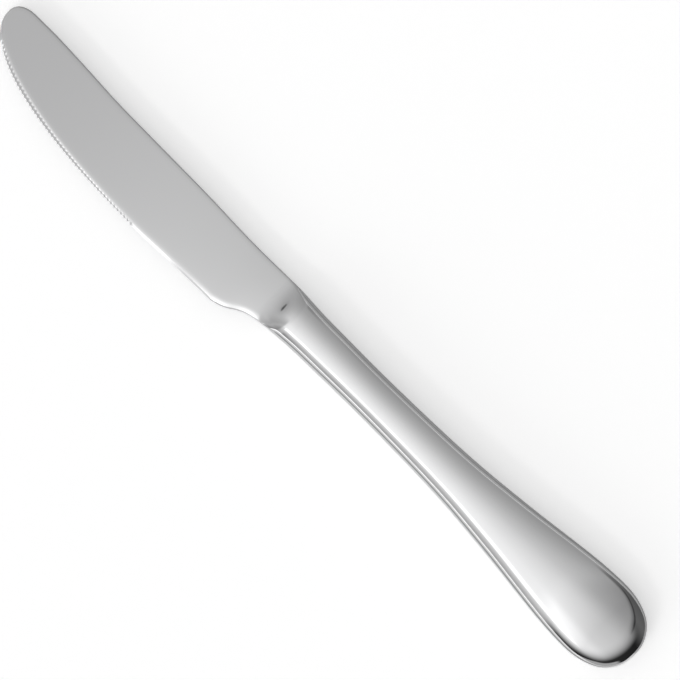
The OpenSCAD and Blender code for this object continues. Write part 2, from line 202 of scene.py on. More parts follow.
# Stations up to the first tooth, from the last one to the heel, from there to the swell, and to the mouth.
TIP_STATIONS, PLAIN_STATIONS, HEEL_STATIONS, SWELL_STATIONS = 60, 40, 50, 110
# Stations along the shells and over the butt, and how much the latter crowd at its end.
SHELL_STATIONS, BUTT_STATIONS, BUTT_POWER = 150, 90, 2.4
# The tang's notches, the part round them with close stations, what its end keeps of its width and thickness,
# and the power of its section.
NOTCH_PLACES = 1 / 2, 3 / 4
NOTCH_START, NOTCH_END, NOTCH_STATIONS = 0.45, 0.8, 60
END_WIDTH, END_THICKNESS, TANG_POWER = 2 / 3, 3 / 4, 1 / 4
# Which angle of the oval neck each place of the flat blade's section swells into, in degrees.
SECTION_ANGLES = (-90, -78, -66, -54, -42, -30, -20, -10, 10, 20, 30, 42, 54, 66, 78, 90)


def mix(a, b, s):
    """The value a share s of the way from a to b."""
    return a + (b - a) * s


def ease(a, b, x):
    """0 before a, 1 after b, and 3 s^2 - 2 s^3 between them."""
    s = np.clip((x - a) / (b - a), 0, 1)
    return s * s * (3 - 2 * s)


def blend(a, b, x):
    """0 before a, 1 after b, and 35 s^4 - 84 s^5 + 70 s^6 - 20 s^7 between them, which leaves both softly."""
    s = np.clip((x - a) / (b - a), 0, 1)
    return s**4 * (35 - s * (84 - s * (70 - 20 * s)))


def fullness(s, start, end):
    """A quarter like a superellipse's, (1 - (1 - s)^end)^(1/start): upright at 0, and level at 1."""
    return (1 - (1 - np.clip(s, 0, 1)) ** end) ** (1 / start)


def spline(shares, s):
    """Value at s of the smooth curve through the pairs of a table.

    Its slopes at the pairs solve one linear system, so that the curvature has no jump and is zero at both
    ends. Between two pairs the curve is the cubic that has their values and slopes.
    """
    x, y = np.array(shares, float).T
    step = np.diff(x)
    rise = np.diff(y) / step
    count = len(x)
    inner = np.arange(1, count - 1)
    system = np.zeros((count, count))
    system[inner, inner - 1] = step[1:]
    system[inner, inner] = 2 * (step[:-1] + step[1:])
    system[inner, inner + 1] = step[:-1]
    system[0, :2] = 2, 1
    system[-1, -2:] = 1, 2
    middle = step[1:] * rise[:-1] + step[:-1] * rise[1:]
    slope = np.linalg.solve(system, 3 * np.concatenate((rise[:1], middle, rise[-1:])))
    i = np.clip(np.searchsorted(x, s, side="right") - 1, 0, count - 2)
    t = (s - x[i]) / step[i]
    return (
        (2 * t**3 - 3 * t**2 + 1) * y[i]
        + (t**3 - 2 * t**2 + t) * step[i] * slope[i]
        + (3 * t**2 - 2 * t**3) * y[i + 1]
        + (t**3 - t**2) * step[i] * slope[i + 1]
    )


def steps(start, end, count, last=False):
    """Even steps from start towards end, with the end itself where last is true."""
    return np.linspace(start, end, count + int(last), endpoint=last)


# Steps of the section's five parts, each from 0 to 1. Rows next to a crease keep its shading crisp.
WALL_STEPS = np.array([[0, 0.03, 0.35, 0.7]])
CORNER_STEPS = steps(0, 1, 6)[None]
FLAT_STEPS = steps(0, 1, 22)[None]
ROLL_STEPS = np.concatenate((steps(0, 1, 6), [0.985]))[None]
BEVEL_STEPS = np.concatenate(([0, 0.015], steps(0.12, 1, 8), [0.985, 1]))[None]
# Where those steps lie among the section's sixteen places.
SECTION_PLACES = np.concatenate(
    (WALL_STEPS, 1 + 2 * CORNER_STEPS, 3 + 9 * FLAT_STEPS, 12 + ROLL_STEPS, 13 + 2 * BEVEL_STEPS), axis=1
)[0]
# The angle of the oval that each of those steps swells into.
OVAL_ANGLES = np.radians(np.interp(SECTION_PLACES, np.arange(len(SECTION_ANGLES)), SECTION_ANGLES))
# Angles of the points round half the handle, with a row next to each rim.
HANDLE_ANGLES = np.radians(np.concatenate(([-90, -89.7], steps(-88, 88, 62, True), [89.7, 90])))


class KnifeForm:
    """The knife's surfaces. A place on them has x along the knife, w across it from the handle's axis
    towards the cutting edge, and z up from the middle of its thickness."""

    def __init__(self, scene):
        self.knife = knife = scene.knife_sizes
        self.cut = scene.knife_edge
        self.inside = scene.knife_inside
        self.mouth = (knife.blade_length - knife.handle_length) / 2
        self.tip = self.mouth - knife.blade_length
        self.butt = self.mouth + knife.handle_length
        self.neck = self.mouth - knife.neck_length
        self.swell = self.neck - knife.swell_length
        self.soft_start = self.swell - knife.swell_length * LONGER_SHARE
        self.soft_end = self.neck + knife.swell_length * LONGER_SHARE
        self.heel = self.neck - knife.heel_length
        self.wide = self.tip + WIDE_SHARE * knife.blade_length
        self.axis = (knife.edge_height - knife.butt_width / 2) / 2
        self.middle = knife.handle_thickness / 2
        self.rim = self.inside.braze / 2
        self.shell = self.mouth + self.inside.braze
        self.plug = self.shell + self.inside.plug_length
        self.cap = self.mouth + SIDE_CAP_SHARE * knife.handle_length

    def place(self, x, w, z):
        """Points of the row's frame from places on the knife."""
        x, w, z = np.broadcast_arrays(x, w, z)
        return np.stack((x, self.axis - w, self.middle + z), axis=-1)

    def mirrored(self, x, w, z):
        """Closed rings from their upper halves, which the lower ones mirror."""
        return np.concatenate((self.place(x, w, z), self.place(x, w, -z)[:, ::-1]), axis=1)

    # The handle: an oval section whose width and thickness follow two splines and round off at the butt.

    def handle_share(self, x):
        """Share of the handle's length from the mouth to x."""
        return (x - self.mouth) / self.knife.handle_length

    def rounding(self, x, start, power):
        """(1 - s^p)^(1/p) over the last part of the handle, from the share where it starts."""
        s = np.clip((self.handle_share(x) - start) / (1 - start), 0, 1)
        return (1 - s**power) ** (1 / power)

    def half_width(self, x):
        """Half of waist plus spline share of what the butt has over the waist, times the rounding in plan."""
        share_butt = spline(WIDTH_SHARES, self.handle_share(x))
        width = mix(self.knife.waist_width, self.knife.butt_width, share_butt)
        return width / 2 * self.rounding(x, PLAN_CAP_SHARE, PLAN_POWER)

    def half_thickness(self, x):
        """Half the greatest thickness, times its spline share, times the rounding in thickness."""
        share_whole = np.minimum(spline(THICKNESS_SHARES, self.handle_share(x)), 1)
        thickness = self.knife.handle_thickness * share_whole
        return thickness / 2 * self.rounding(x, SIDE_CAP_SHARE, SIDE_POWER)

    def oval(self, x, angle, inset=0):
        """Half an ellipse on the seam's rim: w = a sin t and z = rim + b cos t, drawn in along its normal."""
        a = self.half_width(x)
        b = np.maximum(self.half_thickness(x) - self.rim, 0)
        across, up = np.sin(angle), np.cos(angle)
        normal_w, normal_z = across * b, up * a
        size = np.maximum(np.hypot(normal_w, normal_z), MM**3)
        return a * across - inset * normal_w / size, self.rim + b * up - inset * normal_z / size

    # The blade: a flat, slightly tapered section between the spine's outline and the edge's.

    def spine_at(self, x):
        """The spine's distance from the axis: its spline, blended into the neck's side over the heel's
        curve, and rounded off to the tip."""
        knife = self.knife
        rise = spline(SPINE_SHARES, (x - self.tip) / knife.blade_length)
        line = mix(knife.waist_width / 2, knife.spine_height, rise)
        line = mix(line, self.half_width(x), ease(self.heel, self.neck, x))
        return mix(knife.tip_rise, line, fullness((x - self.tip) / knife.tip_round, TIP_POWER, TIP_POWER))

    def edge_at(self, x):
        """The edge's distance from the axis: a superellipse from the tip to the widest place, a quarter of
        a sine that draws it in up to the heel, and the heel's spline in to the neck."""
        knife = self.knife
        belly = fullness((x - self.tip) / (self.wide - self.tip), TIP_POWER, BELLY_POWER)
        belly = mix(-knife.tip_rise, knife.edge_height, belly)
        drawn = np.clip((x - self.wide) / (self.heel - self.wide), 0, 1)
        plain = knife.edge_height - knife.heel_drop * np.sin(math.pi / 2 * drawn)
        heel = np.clip((x - self.heel) / knife.heel_length, 0, 1)
        plain = mix(plain, self.half_width(x), spline(HEEL_SHARES, heel))
        return np.where(x < self.wide, belly, plain) - EDGE_GAP

    def flank_at(self, x, w):
        """Half the blade's thickness: one plane that thickens towards the neck and thins towards the edge."""
        knife = self.knife

        def along(place):
            s = (place - self.tip) / (self.swell - self.tip)
            return mix(knife.tip_thickness, knife.heel_thickness, s) / 2

        drop = along(self.wide) - knife.edge_thickness / 2
        return along(x) - drop * (w + knife.spine_height) / (knife.edge_height + knife.spine_height)

    def face_at(self, x, w, top, edge):
        """The upper flank as it is polished: a camber that falls to both sides by the square of the way from
        the middle, and grows by s^3 from the tip to the heel, and a shoulder that falls by the square of the
        way into the strip along the spine."""
        s = np.clip((x - self.tip) / (self.heel - self.tip), 0, 1)
        side = (2 * w - edge - top) / (edge - top)
        shoulder = np.clip(1 - (w - top) / self.cut.shoulder_width, 0, 1)
        drop = self.cut.camber * s**3 * side**2 + self.cut.shoulder_drop * shoulder**2
        return self.flank_at(x, w) - drop

    def blade_half(self, x, upper, tooth):
        """Half of the blade's section at each station, from the spine to the edge.

        Its five parts follow each other: the spine's side, its rounded corner, the flat, the strip that rolls
        off by sag s^3, and the bevel, which is straight and only on the upper half. Past the heel the bevel
        turns into the same rounded corner as the spine's. In a gullet the bevel's outer part moves inwards by
        its share of the gullet's depth, and sinks by groove sin(pi s)."""
        cut = self.cut
        top = -self.spine_at(x)
        edge = self.edge_at(x)
        fit = np.minimum(1, (edge - top) / (3 * cut.roll_width))
        radius = self.knife.spine_radius * fit
        roll = cut.roll_width * fit
        blunt_end = self.heel + BLUNT_SHARE * self.knife.heel_length
        blunt = ease(self.heel, blunt_end, x)
        s = np.clip((x - self.tip) / (self.heel - self.tip), 0, 1)
        lead = mix(LEAD_SHARE, 1, ease(self.tip, self.tip + LEAD_REACH * cut.serration_start, x))
        width = mix(mix(cut.bevel_width, cut.heel_bevel_width, s) * lead * fit, radius, blunt)
        thin = self.flank_at(x, edge)
        near_heel = ease(self.heel - SINK_SHARE * self.knife.heel_length, blunt_end, x)
        sag = mix(cut.roll_drop, cut.heel_roll_drop, near_heel) * fit if upper else 0 * fit
        lip = mix(cut.edge_land - thin if upper else thin, thin - radius, blunt)

        def face(w):
            return self.face_at(x, w, top, edge) if upper else self.flank_at(x, w)

        wall = top + 0 * WALL_STEPS, mix(self.rim, face(top) - radius, WALL_STEPS)
        turn = CORNER_STEPS * math.pi / 2
        w = top + radius * (1 - np.cos(turn))
        corner = w, face(w) - radius * (1 - np.sin(turn))
        w = mix(top + radius, edge - roll, FLAT_STEPS)
        flat = w, face(w)
        w = mix(edge - roll, edge - width, ROLL_STEPS)
        rolled = w, face(w) - sag * ROLL_STEPS**3
        s = BEVEL_STEPS
        turn = s * math.pi / 2
        w = edge - width * (1 - mix(s, np.sin(turn), blunt))
        straight = mix(face(edge - width) - sag, lip, s)
        z = mix(straight, face(w) - sag - radius * (1 - np.cos(turn)), blunt)
        if upper:
            z = z - cut.groove_depth * tooth["gap"] * np.sin(math.pi * s)
        bevel = w + s * tooth["across"], z
        w, z = (np.concatenate(part, axis=1) for part in zip(wall, corner, flat, rolled, bevel))
        still = np.zeros((1, SECTION_PLACES.size - s.size))
        return x + tooth["along"] * np.concatenate((still, s), axis=1), w, z

    def blade_stations(self):
        """Stations along the blade and, at each, how deep it lies in a gullet.

        The stations crowd at the tip, and have even steps of the edge's own length over the teeth. Between
        two teeth the gullet is a power of sin(pi s), times its depth, along the edge's inward normal."""
        cut = self.cut
        first = self.tip + cut.serration_start
        dense = mix(self.tip, self.heel, steps(0, 1, EDGE_POINTS, True) ** BELLY_POWER)
        run = np.cumsum(np.append(0, np.hypot(np.diff(dense), np.diff(self.edge_at(dense)))))
        begin, end = np.interp((first, first + cut.serration_length), dense, run)
        teeth = TOOTH_GROUP * math.floor((end - begin) / (TOOTH_GROUP * cut.tooth_pitch))
        places = steps(0, teeth, teeth * cut.tooth_steps, True)
        toothed = np.interp(begin + places * cut.tooth_pitch, run, dense)
        parts = (
            mix(self.tip, first, steps(FIRST_STEP, 1, TIP_STATIONS) ** BELLY_POWER),
            toothed[:-1],
            steps(toothed[-1], self.heel, PLAIN_STATIONS),
            steps(self.heel, self.soft_start, HEEL_STATIONS),
            steps(self.soft_start, self.mouth, SWELL_STATIONS, True),
        )
        x = np.concatenate(parts)[:, None]
        gap = np.zeros_like(x)
        toothless = parts[0].size
        arches = np.abs(np.sin(math.pi * places[:-1])) ** GULLET_POWER
        gap[toothless : toothless + arches.size, 0] = arches
        near = MM / 10
        slope = (self.edge_at(x + near) - self.edge_at(x - near)) / (2 * near)
        depth = cut.gullet_depth * gap / np.hypot(1, slope)
        return x, {"gap": gap, "along": depth * slope, "across": -depth}

    def blade_rings(self):
        """Closed rings from the tip to the mouth: the flat section, blended into the oval one over the
        swell and a little beyond it on both sides."""
        x, tooth = self.blade_stations()
        share_oval = blend(self.soft_start, self.soft_end, x)
        oval_w, oval_z = self.oval(x, OVAL_ANGLES)
        halves = []
        for upper in (True, False):
            along, w, z = self.blade_half(x, upper, tooth)
            w = mix(w, oval_w, share_oval)
            z = mix(z, oval_z, share_oval)
            halves.append(self.place(along, w, z if upper else -z))
        return np.concatenate((halves[0], halves[1][:, ::-1]), axis=1)

    def tang_rings(self):
        """The plug behind the neck, and the tang: a superellipse of the fourth root of sine and cosine whose
        sides draw in at two pairs of round notches."""
        inside = self.inside
        outline = self.plug_outline(OVAL_ANGLES)
        close = steps(NOTCH_START, NOTCH_END, NOTCH_STATIONS)
        s = np.concatenate((steps(0, NOTCH_START, 3), close, steps(NOTCH_END, 1, 3, True)))[:, None]
        x = self.plug + inside.tang_length * s
        notch = np.zeros_like(s)
        for place in NOTCH_PLACES:
            off = np.minimum(np.abs(s - place) * inside.tang_length / (2 * inside.notch_depth), 1)
            notch = notch + inside.notch_depth * np.maximum(2 * np.sqrt(1 - off**2) - 1, 0)
        half_w = mix(1, END_WIDTH, s) * inside.tang_width / 2 - notch
        half_z = mix(1, END_THICKNESS, s) * inside.tang_thickness / 2 - self.rim
        w = half_w * np.sign(OVAL_ANGLES) * np.abs(np.sin(OVAL_ANGLES)) ** TANG_POWER
        z = self.rim + half_z * np.abs(np.cos(OVAL_ANGLES)) ** TANG_POWER
        x = np.concatenate(([[self.mouth], [self.plug]], x))
        w = np.concatenate((outline[0], outline[0], w))
        z = np.concatenate((outline[1], outline[1], z))
        return self.mirrored(x, w, z)

    def plug_outline(self, angle):
        """The plug's section: the handle's oval where the plug ends, drawn in by the wall and the gap."""
        return self.oval(np.array([[self.plug]]), angle[None], self.inside.wall + self.inside.plug_gap)

    # The shells share their stations with the seam between them, so that their rims meet.

    def shell_stations(self):
        """Stations of the outside and of the hollow inside it.

        The outside's steps are even up to the rounding of the butt, and there 1 - (1 - s)^power of it. The
        hollow stays back by s of the wall, and its last rings close on the axis before the butt."""
        s = 1 - (1 - steps(0, 1, BUTT_STATIONS, True)) ** BUTT_POWER
        outer = np.concatenate((steps(self.shell, self.cap, SHELL_STATIONS), mix(self.cap, self.butt, s)))
        hollow = outer - self.inside.wall * np.concatenate((np.zeros(SHELL_STATIONS), s))
        end = np.searchsorted(outer, self.butt - self.inside.wall)
        closing = np.clip((np.arange(outer.size) - end) / (outer.size - 1 - end), 0, 1)
        return outer, np.minimum(hollow, hollow[end]), np.minimum(outer, outer[end]), 1 - closing

    def shell_grids(self, angle):
        """The outside of a half shell and its hollow, as rows of places from the mouth to the butt."""
        outer, hollow, source, open_share = (array[:, None] for array in self.shell_stations())
        out_w, out_z = self.oval(outer, angle[None])
        in_w, in_z = self.oval(source, angle[None], self.inside.wall)
        in_w = in_w * open_share
        in_z = mix(self.rim, in_z, open_share)
        return (outer, out_w, out_z), (hollow, in_w, in_z)


def grid_faces(rows, columns, around=False, first=0):
    """Faces of a grid, whose rows follow each other and whose columns may close into rings."""
    index = first + np.arange(rows * columns).reshape(rows, columns)
    if around:
        index = np.concatenate((index, index[:, :1]), axis=1)
    corners = (index[:-1, :-1], index[:-1, 1:], index[1:, 1:], index[1:, :-1])
    return np.stack([corner.ravel() for corner in corners], axis=1).tolist()


def add_piece(name, points, faces, finish, slot, node):
    """A closed mesh that stands for a CAD node, rides on the knife and has one finish."""
    mesh = bpy.data.meshes.new(name)
    mesh.from_pydata(points.reshape(-1, 3).tolist(), [], faces)
    mesh.shade_smooth()
    mesh.set_sharp_from_angle(angle=math.radians(30))
    mesh.materials.append(finish)
    piece = bpy.data.objects.new(name, mesh)
    bpy.context.scene.collection.objects.link(piece)
    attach(piece, "root")
    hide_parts(node)


def blade_mesh(form):
    """One surface through the rings of the blade, the plug and the tang, closed by a face at each end."""
    rings = np.concatenate((form.blade_rings(), form.tang_rings()))
    rows, columns = rings.shape[:2]
    start = list(range(columns))[::-1]
    end = list(range((rows - 1) * columns, rows * columns))
    return rings, grid_faces(rows, columns, around=True) + [start, end]


def mouth_mesh(form):
    """A flat ring between the neck and the shells: its oval outside, flush with both, and the plug's
    outline."""
    front, back = (form.oval(np.array([[x]]), HANDLE_ANGLES[None]) for x in (form.mouth, form.shell))
    bore = form.plug_outline(HANDLE_ANGLES)
    sections = (form.mouth, front), (form.shell, back), (form.shell, bore), (form.mouth, bore)
    rings = np.concatenate([form.mirrored(x, w, z) for x, (w, z) in sections])
    rows, columns = rings.shape[:2]
    faces = np.array(grid_faces(rows + 1, columns, around=True))
    return rings, (faces % (rows * columns)).tolist()


def shell_mesh(form, side):
    """A half shell: its outside and its hollow, each closed on the axis by a fan, with strips along both rims
    and across the mouth. The back shell is the front one with z turned round, and so are its faces."""
    outside, hollow = form.shell_grids(HANDLE_ANGLES)
    rows, columns = outside[1].shape
    inner = rows * columns
    points = np.concatenate([form.place(x, w, side * z).reshape(-1, 3) for x, w, z in (outside, hollow)])
    poles = (inner - columns, 2 * inner - columns)
    outer_faces = grid_faces(rows - 1, columns)
    inner_faces = [face[::-1] for face in grid_faces(rows - 1, columns, first=inner)]
    fan = np.arange(columns - 1) + (rows - 2) * columns
    outer_faces += [[k, k + 1, poles[0]] for k in fan.tolist()]
    inner_faces += [[poles[1], k + 1, k] for k in (fan + inner).tolist()]

    def rim(first, pole):
        return np.append(np.arange(rows - 1) * columns + first, pole)

    near, far = rim(0, poles[0]), rim(columns - 1, poles[0])
    near_in, far_in = rim(inner, poles[1]), rim(inner + columns - 1, poles[1])
    near_strip = np.stack((near[:-1], near[1:], near_in[1:], near_in[:-1]), axis=1)
    far_strip = np.stack((far[:-1], far_in[:-1], far_in[1:], far[1:]), axis=1)
    k = np.arange(columns - 1)
    mouth = np.stack((k, k + inner, k + inner + 1, k + 1), axis=1)
    faces = outer_faces + inner_faces + near_strip.tolist() + far_strip.tolist() + mouth.tolist()
    used, place = np.unique(np.concatenate([np.array(face) for face in faces]), return_inverse=True)
    ends = np.cumsum([len(face) for face in faces])[:-1]
    faces = [part.tolist() for part in np.split(place, ends)]
    if side < 0:
        faces = [face[::-1] for face in faces]
    return points[used], faces


def seam_mesh(form):
    """The strip between the shells' rims: a four-sided section carried from the mouth along the spine's side,
    round the butt and back along the edge's side."""
    (outer_x, outer_w, _), (inner_x, inner_w, _) = form.shell_grids(np.array([-math.pi / 2, math.pi / 2]))

    def path(x, w):
        there = np.stack((x[:, 0], w[:, 0]), axis=1)
        back = np.stack((x[:, 0], w[:, 1]), axis=1)[-2::-1]
        return np.concatenate((there, back))

    outside, inside = path(outer_x, outer_w), path(inner_x, inner_w)
    corners = ((outside, form.rim), (outside, -form.rim), (inside, -form.rim), (inside, form.rim))
    section = np.stack([form.place(line[:, 0], line[:, 1], z) for line, z in corners], axis=1)
    rows = len(section)
    faces = [face[::-1] for face in grid_faces(rows, 4, around=True)]
    last = 4 * (rows - 1)
    return section, faces + [[0, 1, 2, 3], [last + 3, last + 2, last + 1, last]]


class Value:
    """A socket on which sums are written as plain expressions, each of which adds its Math node."""

    def __init__(self, nodes, socket):
        self.nodes = nodes
        self.socket = socket

    def sum(self, operation, *values):
        """What a Math node with that operation makes of values and numbers."""
        return self.nodes.add("ShaderNodeMath", {"operation": operation}, dict(enumerate(values)))

    def __add__(self, other):
        return self.sum("ADD", self, other)

    def __sub__(self, other):
        return self.sum("SUBTRACT", self, other)

    def __rsub__(self, other):
        return self.sum("SUBTRACT", other, self)

    def __mul__(self, other):
        return self.sum("MULTIPLY", self, other)

    def __truediv__(self, other):
        return self.sum("DIVIDE", self, other)

    def __rtruediv__(self, other):
        return self.sum("DIVIDE", other, self)

    __radd__ = __add__
    __rmul__ = __mul__


class Nodes:
    """The nodes of a material or of the world."""

    def __init__(self, owner):
        owner.use_nodes = True
        self.tree = owner.node_tree
        self.tree.nodes.clear()

    def add(self, kind, settings=None, values=None, output=0):
        """A node of a kind, with its settings first and then the values or links of its sockets."""
        node = self.tree.nodes.new(kind)
        for key, setting in (settings or {}).items():
            if key == "stops":
                self.set_stops(node.color_ramp, setting)
            else:
                setattr(node, key, setting)
        for key, value in (values or {}).items():
            if isinstance(value, Value):
                self.tree.links.new(value.socket, node.inputs[key])
            else:
                node.inputs[key].default_value = value
        return Value(self, node.outputs[output]) if len(node.outputs) else node

    def set_stops(self, ramp, stops):
        """Gives a ramp its stops, each a place and a grey."""
        while len(ramp.elements) < len(stops):
            ramp.elements.new(1)
        for element, (place, tone) in zip(ramp.elements, stops):
            element.position = place
            element.color = (tone, tone, tone, 1)

    def grey_ramp(self, value, stops):
        """The number that a table of values and numbers gives, with straight lines between its rows."""
        (first, _), (last, _) = stops[0], stops[-1]
        top = max(number for _, number in stops)
        shares = tuple(((place - first) / (last - first), number / top) for place, number in stops)
        ramp = self.add("ShaderNodeValToRGB", {"stops": shares}, {0: (value - first) / (last - first)})
        return self.add("ShaderNodeRGBToBW", None, {0: ramp}) * top

    def ray(self, kind):
        """1 for rays of that kind, and 0 for others."""
        return self.add("ShaderNodeLightPath", output=f"Is {kind} Ray")

    def smooth(self, value, start, end, low=0.0, high=1.0):
        """low before start and high after end, with a smooth step between."""
        values = {0: value, 1: start, 2: end, 3: low, 4: high}
        return self.add("ShaderNodeMapRange", {"interpolation_type": "SMOOTHSTEP"}, values)

    def between(self, value, start, full, fading, end):
        """0 before start and after end, and 1 from full to fading, with smooth steps between."""
        return self.smooth(value, start, full) * self.smooth(value, end, fading)

    def tint(self, factor, first, second):
        """A colour, or a number made of greys, between two, by a factor."""
        return self.add("ShaderNodeMix", {"data_type": "RGBA"}, {0: factor, 6: first, 7: second}, output=2)

    def place(self):
        """The object's own coordinates, in metres."""
        return self.add("ShaderNodeTexCoord", output="Object")

    def parts(self, vector):
        """The three parts of a vector."""
        split = self.add("ShaderNodeSeparateXYZ", None, {0: vector}).socket.node
        return [Value(self, socket) for socket in split.outputs]

    def noise(self, scale, detail=2.0, stretch=(1, 1, 1)):
        """Noise on the object's own coordinates, with a number of waves to the metre along each axis."""
        place = self.add("ShaderNodeMapping", None, {"Vector": self.place(), "Scale": stretch})
        return self.add("ShaderNodeTexNoise", None, {"Vector": place, "Scale": scale, "Detail": detail})

    def bump(self, height, distance):
        """A bump of that height in metres."""
        return self.add("ShaderNodeBump", None, {"Height": height, "Distance": distance})

    def surface(self, values):
        """The shader, with what varies over it linked, joined to the output."""
        shader = self.add("ShaderNodeBsdfPrincipled", None, values)
        self.add("ShaderNodeOutputMaterial", None, {"Surface": shader})


def new_finish(name):
    """An empty material and its nodes."""
    finish = bpy.data.materials.new(name)
    return finish, Nodes(finish)


def shade(tone, factor):
    """A colour made darker or lighter, with its fourth number."""
    return (*[min(1, part * factor) for part in tone], 1)


# How deep the buffing lines, the grinding lines and the cement's pores are, in metres.
BUFFING_DEPTH, GRINDING_DEPTH, PORE_DEPTH = 0.6e-6, 1.2e-6, 0.0001
# Share of the swell over which the blade's satin turns into the mirror polish of the neck.
MIRROR_SHARE = 0.6


def mirror_steel(name, look):
    """Mirror polished steel: faint cloudy smears in the polish, and buffing lines along the knife."""
    finish, nodes = new_finish(name)
    cloud = nodes.noise(scale=55, detail=3, stretch=(1, 1.6, 1.6))
    lines = nodes.noise(scale=1, detail=2, stretch=(90, 2600, 2600))
    polish = nodes.smooth(cloud, 0.35, 0.7, 1 - look.smear, 1 + look.smear)
    worn, fresh = shade(look.handle_colour, 0.985), shade(look.handle_colour, 1.01)
    nodes.surface(
        {
            "Base Color": nodes.tint(nodes.smooth(cloud, 0.3, 0.75), worn, fresh),
            "Metallic": 1.0,
            "Roughness": look.handle_roughness * polish + 0.01 * lines,
            "Normal": nodes.bump(lines, BUFFING_DEPTH),
        }
    )
    return finish


def blade_steel(name, look, form):
    """Satin polished steel that turns into the handle's mirror polish over the swell.

    Grinding lines run across the blade and the satin is cloudy. Painted shade darkens its colour all the way
    to the tip, and a painted highlight brightens the bevel's colour, where the steel leans towards the edge."""
    finish, nodes = new_finish(name)
    cloud = nodes.noise(scale=40, detail=3, stretch=(1, 1.5, 1.5))
    lines = nodes.noise(scale=1, detail=3, stretch=(5200, 120, 120))
    along = nodes.parts(nodes.place())[0]
    # Painted shade: the blade's colour darkens from the swell all the way to the tip.
    painted_tip_shade = nodes.smooth(along, form.swell, form.tip)
    mirror = nodes.smooth(along, form.swell, form.swell + form.knife.swell_length * MIRROR_SHARE)
    satin = look.blade_roughness * nodes.smooth(cloud, 0.35, 0.7, 1 - look.smear, 1 + look.smear)
    satin = satin + 0.04 * lines
    tone = nodes.tint(mirror, (*look.blade_colour, 1), (*look.handle_colour, 1))
    worn = nodes.tint(mirror, shade(look.blade_colour, 0.98), shade(look.handle_colour, 0.98))
    # The painted shade's colour at the tip, and the painted highlight's colour on the bevel.
    painted_shade_colour, bright = shade(look.blade_colour, 0.81), shade(look.blade_colour, 1.34)
    flat = nodes.tint(painted_tip_shade, nodes.tint(nodes.smooth(cloud, 0.3, 0.75), worn, tone), painted_shade_colour)
    # Painted highlight: the colour is brighter where the normal leans towards the edge's side, where the soft
    # box stands, which is on the bevel.
    leaning = nodes.parts(nodes.add("ShaderNodeTexCoord", output="Normal"))[1]
    ground = nodes.smooth(leaning, -0.12, -0.34)
    nodes.surface(
        {
            "Base Color": nodes.tint(ground * (1 - mirror), flat, bright),
            "Metallic": 1.0,
            "Roughness": satin * (1 - mirror) + look.handle_roughness * mirror,
            "Normal": nodes.bump(lines * (1 - mirror), GRINDING_DEPTH),
        }
    )
    return finish


def cutlers_cement(name, tone):
    """Hard matte cement with dark grains and small pores."""
    finish, nodes = new_finish(name)
    grains = nodes.noise(scale=2400, detail=3)
    pores = nodes.noise(scale=900, detail=4)
    dark, light = shade(tone, 0.6), shade(tone, 1.2)
    nodes.surface(
        {
            "Base Color": nodes.tint(nodes.smooth(grains, 0.35, 0.65), dark, light),
            "Roughness": nodes.smooth(pores, 0.3, 0.7, 0.75, 0.95),
            "Normal": nodes.bump(pores, PORE_DEPTH),
        }
    )
    return finish


class KNIFE_OT_add_blade(Operator):
    """Adds the forged blade with its neck, plug and tang"""

    bl_idname = "knife.add_blade"
    bl_label = "Add blade"

    def execute(self, context):
        form = KnifeForm(context.scene)
        finish = blade_steel("blade_steel", context.scene.knife_finish, form)
        add_piece("forged_blade", *blade_mesh(form), finish, "blade_steel", "blade")
        return {"FINISHED"}


class KNIFE_OT_add_handle(Operator):
    """Adds the front and the back shell of the hollow handle"""

    bl_idname = "knife.add_handle"
    bl_label = "Add handle shells"

    def execute(self, context):
        form = KnifeForm(context.scene)
        finish = mirror_steel("handle_steel", context.scene.knife_finish)
        sides = ("front_shell", 1, "handle_shell_front"), ("back_shell", -1, "handle_shell_back")
        for name, side, node in sides:
            add_piece(name, *shell_mesh(form, side), finish, "handle_steel", node)
        return {"FINISHED"}


class KNIFE_OT_add_braze(Operator):
    """Adds the braze at the mouth and along the seam of the handle"""

    bl_idname = "knife.add_braze"
    bl_label = "Add braze"

    def execute(self, context):
        form = KnifeForm(context.scene)
        finish = mirror_steel("braze", context.scene.knife_finish)
        add_piece("mouth_joint", *mouth_mesh(form), finish, "braze", "mouth_braze")
        add_piece("seam_joint", *seam_mesh(form), finish, "braze", "seam_braze")
        return {"FINISHED"}


class KNIFE_OT_finish_cement(Operator):
    """Gives the cement round the tang its finish"""

    bl_idname = "knife.finish_cement"
    bl_label = "Finish cement"

    def execute(self, context):
        finish = cutlers_cement("cement", context.scene.knife_finish.cement_colour)
        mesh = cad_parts["tang_cement"].data
        mesh.materials.clear()
        mesh.materials.append(finish)
        return {"FINISHED"}


# Light of the room over the tilt towards the edge's side, in degrees.
ROOM_LIGHT = (
    (-90, 0.42), (-75, 0.38), (-60, 0.42), (-45, 0.47), (-30, 0.55), (-15, 0.66), (0, 0.8), (15, 0.93),
    (30, 1.05), (45, 1.12), (52, 0.95), (60, 0.75), (75, 0.5), (90, 0.5),
)
# What the way towards the butt makes of it, from -1 over the tip to 1 over the butt.
END_LIGHT = (
    (-1, 0.52), (-0.95, 0.66), (-0.84, 0.75), (-0.6, 0.84), (-0.35, 0.9), (-0.17, 0.92), (-0.1, 0.93),
    (-0.07, 0.94), (-0.05, 0.96), (-0.03, 0.98), (0.02, 1), (0.09, 1.08), (0.17, 1), (0.3, 0.82), (1, 0.78),
)
# Tilts in degrees from and to which the soft box and the low lamp stand, each with its soft borders. The soft
# box ends earlier by its slant times the way towards the butt.
KEY_TILTS, KEY_SLANT = (42, 49, 54, 59), 45
LOW_TILTS = 58, 64, 76, 82
